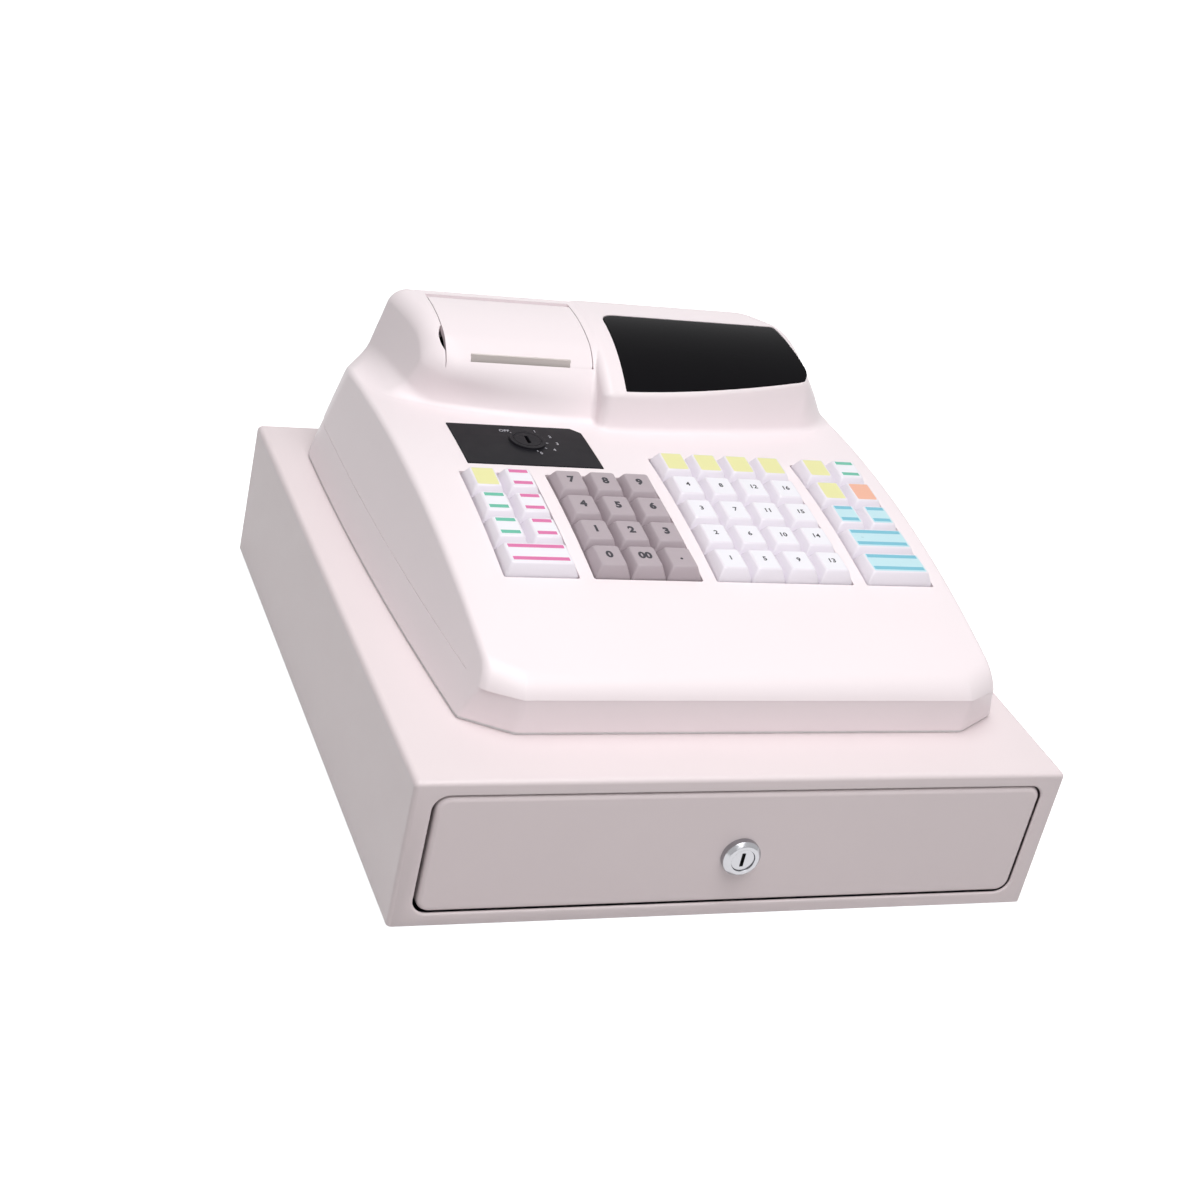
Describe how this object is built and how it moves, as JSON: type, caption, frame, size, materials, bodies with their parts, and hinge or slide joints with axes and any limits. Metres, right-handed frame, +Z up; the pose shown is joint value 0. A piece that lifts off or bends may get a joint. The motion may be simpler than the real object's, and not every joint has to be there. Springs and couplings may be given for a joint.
{
  "type": "electronic cash register",
  "caption": "Electronic cash register with a sloping keyboard, ticket printer and display hood on a steel cash drawer.",
  "frame": {"origin": "middle of the bounding box's base, on the floor under the feet", "axes": "+X to the user's right, +Y towards the back, +Z up; the drawer opens towards -Y"},
  "size_m": [0.336, 0.3586, 0.182],
  "materials": {
    "steel_paint": "satin",
    "zinc": "satin",
    "rubber": "matte",
    "copper": "satin",
    "black_plastic": "matte",
    "chrome": "polished",
    "body_plastic": "satin",
    "smoked_plastic": "gloss",
    "circuit_board": "satin",
    "paper": "matte",
    "key_grey": "satin",
    "key_white": "satin"
  },
  "bodies": {
    "case": {"drawer_case": "steel_paint", "base_plate": "zinc", "rubber_feet": "rubber", "case_rails": "zinc", "case_screws": "zinc", "latch_solenoid": "copper", "ejector_spring": "zinc", "lower_housing": "body_plastic", "upper_housing": "body_plastic", "housing_screws": "zinc", "printer_frame": "black_plastic", "display_window": "smoked_plastic", "display_board": "circuit_board", "customer_display": "smoked_plastic", "mode_plate": "black_plastic", "key_frame": "black_plastic", "key_board": "circuit_board", "main_board": "circuit_board", "power_transformer": "copper", "power_inlet": "black_plastic"},
    "drawer": {"drawer_box": "zinc", "drawer_rails": "zinc", "drawer_front": "steel_paint", "cash_tray": "black_plastic", "clip_shaft": "zinc", "lock_barrel": "chrome"},
    "cover": {"printer_cover": "body_plastic"},
    "lock": {"lock_cylinder": "chrome", "lock_cam": "zinc"},
    "latch": {"latch_hook": "zinc"},
    "clip_1": {"bill_clip_1": "black_plastic"},
    "clip_2": {"bill_clip_2": "black_plastic"},
    "clip_3": {"bill_clip_3": "black_plastic"},
    "clip_4": {"bill_clip_4": "black_plastic"},
    "mode_switch": {"mode_cylinder": "zinc"},
    "platen": {"platen_roller": "rubber"},
    "paper": {"paper_roll": "paper"},
    "key_7": {"key_7": "key_grey"},
    "key_8": {"key_8": "key_grey"},
    "key_9": {"key_9": "key_grey"},
    "key_4": {"key_4": "key_grey"},
    "key_5": {"key_5": "key_grey"},
    "key_6": {"key_6": "key_grey"},
    "key_1": {"key_1": "key_grey"},
    "key_2": {"key_2": "key_grey"},
    "key_3": {"key_3": "key_grey"},
    "key_0": {"key_0": "key_grey"},
    "key_00": {"key_00": "key_grey"},
    "key_point": {"key_point": "key_grey"},
    "left_keys_1": {"left_keys_1": "key_white"},
    "left_keys_2": {"left_keys_2": "key_white"},
    "left_wide_key": {"left_wide_key": "key_white"},
    "department_keys_1": {"department_keys_1": "key_white"},
    "department_keys_2": {"department_keys_2": "key_white"},
    "department_keys_3": {"department_keys_3": "key_white"},
    "department_keys_4": {"department_keys_4": "key_white"},
    "right_keys_1": {"right_keys_1": "key_white"},
    "right_keys_2": {"right_keys_2": "key_white"},
    "right_wide_key_1": {"right_wide_key_1": "key_white"},
    "right_wide_key_2": {"right_wide_key_2": "key_white"}
  },
  "joints": [
    {"name": "drawer_slide", "type": "slide", "parent": "case", "child": "drawer", "axis": [0, -1, 0], "range_m": [0, 0.25]},
    {"name": "cover_hinge", "type": "hinge", "parent": "case", "child": "cover", "pos_m": [-0.052, 0.1467, 0.17707], "axis": [-1, 0, 0], "range_deg": [0, 80]},
    {"name": "lock_turn", "type": "hinge", "parent": "drawer", "child": "lock", "pos_m": [0, -0.1743, 0.04], "axis": [0, -1, 0], "range_deg": [0, 90]},
    {"name": "latch_lift", "type": "hinge", "parent": "case", "child": "latch", "pos_m": [0.09, 0.1637, 0.044], "axis": [0, 1, 0], "range_deg": [-9, 0]},
    {"name": "clip_1_lift", "type": "hinge", "parent": "drawer", "child": "clip_1", "pos_m": [0, 0.1277, 0.0547], "axis": [-1, 0, 0], "range_deg": [0, 42]},
    {"name": "clip_2_lift", "type": "hinge", "parent": "drawer", "child": "clip_2", "pos_m": [0, 0.1277, 0.0547], "axis": [-1, 0, 0], "range_deg": [0, 42]},
    {"name": "clip_3_lift", "type": "hinge", "parent": "drawer", "child": "clip_3", "pos_m": [0, 0.1277, 0.0547], "axis": [-1, 0, 0], "range_deg": [0, 42]},
    {"name": "clip_4_lift", "type": "hinge", "parent": "drawer", "child": "clip_4", "pos_m": [0, 0.1277, 0.0547], "axis": [-1, 0, 0], "range_deg": [0, 42]},
    {"name": "mode_turn", "type": "hinge", "parent": "case", "child": "mode_switch", "pos_m": [-0.056, 0.0557, 0.14045], "axis": [0, -0.02, 0.9998], "range_deg": [-60, 90]},
    {"name": "platen_spin", "type": "hinge", "parent": "case", "child": "platen", "pos_m": [-0.052, 0.1022, 0.16], "axis": [1, 0, 0], "continuous": true},
    {"name": "paper_spin", "type": "hinge", "parent": "case", "child": "paper", "pos_m": [-0.052, 0.1262, 0.148], "axis": [1, 0, 0], "continuous": true},
    {"name": "key_7_press", "type": "slide", "parent": "case", "child": "key_7", "axis": [0, 0.1103, -0.9939], "range_m": [0, 0.0025], "stiffness_N_per_m": 150},
    {"name": "key_8_press", "type": "slide", "parent": "case", "child": "key_8", "axis": [0, 0.1103, -0.9939], "range_m": [0, 0.0025], "stiffness_N_per_m": 150},
    {"name": "key_9_press", "type": "slide", "parent": "case", "child": "key_9", "axis": [0, 0.1103, -0.9939], "range_m": [0, 0.0025], "stiffness_N_per_m": 150},
    {"name": "key_4_press", "type": "slide", "parent": "case", "child": "key_4", "axis": [0, 0.1103, -0.9939], "range_m": [0, 0.0025], "stiffness_N_per_m": 150},
    {"name": "key_5_press", "type": "slide", "parent": "case", "child": "key_5", "axis": [0, 0.1103, -0.9939], "range_m": [0, 0.0025], "stiffness_N_per_m": 150},
    {"name": "key_6_press", "type": "slide", "parent": "case", "child": "key_6", "axis": [0, 0.1103, -0.9939], "range_m": [0, 0.0025], "stiffness_N_per_m": 150},
    {"name": "key_1_press", "type": "slide", "parent": "case", "child": "key_1", "axis": [0, 0.1103, -0.9939], "range_m": [0, 0.0025], "stiffness_N_per_m": 150},
    {"name": "key_2_press", "type": "slide", "parent": "case", "child": "key_2", "axis": [0, 0.1103, -0.9939], "range_m": [0, 0.0025], "stiffness_N_per_m": 150},
    {"name": "key_3_press", "type": "slide", "parent": "case", "child": "key_3", "axis": [0, 0.1103, -0.9939], "range_m": [0, 0.0025], "stiffness_N_per_m": 150},
    {"name": "key_0_press", "type": "slide", "parent": "case", "child": "key_0", "axis": [0, 0.1103, -0.9939], "range_m": [0, 0.0025], "stiffness_N_per_m": 150},
    {"name": "key_00_press", "type": "slide", "parent": "case", "child": "key_00", "axis": [0, 0.1103, -0.9939], "range_m": [0, 0.0025], "stiffness_N_per_m": 150},
    {"name": "key_point_press", "type": "slide", "parent": "case", "child": "key_point", "axis": [0, 0.1103, -0.9939], "range_m": [0, 0.0025], "stiffness_N_per_m": 150},
    {"name": "left_keys_1_press", "type": "slide", "parent": "case", "child": "left_keys_1", "axis": [0, 0.1103, -0.9939], "range_m": [0, 0.0025], "stiffness_N_per_m": 150},
    {"name": "left_keys_2_press", "type": "slide", "parent": "case", "child": "left_keys_2", "axis": [0, 0.1103, -0.9939], "range_m": [0, 0.0025], "stiffness_N_per_m": 150},
    {"name": "left_wide_key_press", "type": "slide", "parent": "case", "child": "left_wide_key", "axis": [0, 0.1103, -0.9939], "range_m": [0, 0.0025], "stiffness_N_per_m": 150},
    {"name": "department_keys_1_press", "type": "slide", "parent": "case", "child": "department_keys_1", "axis": [0, 0.1103, -0.9939], "range_m": [0, 0.0025], "stiffness_N_per_m": 150},
    {"name": "department_keys_2_press", "type": "slide", "parent": "case", "child": "department_keys_2", "axis": [0, 0.1103, -0.9939], "range_m": [0, 0.0025], "stiffness_N_per_m": 150},
    {"name": "department_keys_3_press", "type": "slide", "parent": "case", "child": "department_keys_3", "axis": [0, 0.1103, -0.9939], "range_m": [0, 0.0025], "stiffness_N_per_m": 150},
    {"name": "department_keys_4_press", "type": "slide", "parent": "case", "child": "department_keys_4", "axis": [0, 0.1103, -0.9939], "range_m": [0, 0.0025], "stiffness_N_per_m": 150},
    {"name": "right_keys_1_press", "type": "slide", "parent": "case", "child": "right_keys_1", "axis": [0, 0.1103, -0.9939], "range_m": [0, 0.0025], "stiffness_N_per_m": 150},
    {"name": "right_keys_2_press", "type": "slide", "parent": "case", "child": "right_keys_2", "axis": [0, 0.1103, -0.9939], "range_m": [0, 0.0025], "stiffness_N_per_m": 150},
    {"name": "right_wide_key_1_press", "type": "slide", "parent": "case", "child": "right_wide_key_1", "axis": [0, 0.1103, -0.9939], "range_m": [0, 0.0025], "stiffness_N_per_m": 150},
    {"name": "right_wide_key_2_press", "type": "slide", "parent": "case", "child": "right_wide_key_2", "axis": [0, 0.1103, -0.9939], "range_m": [0, 0.0025], "stiffness_N_per_m": 150}
  ]
}
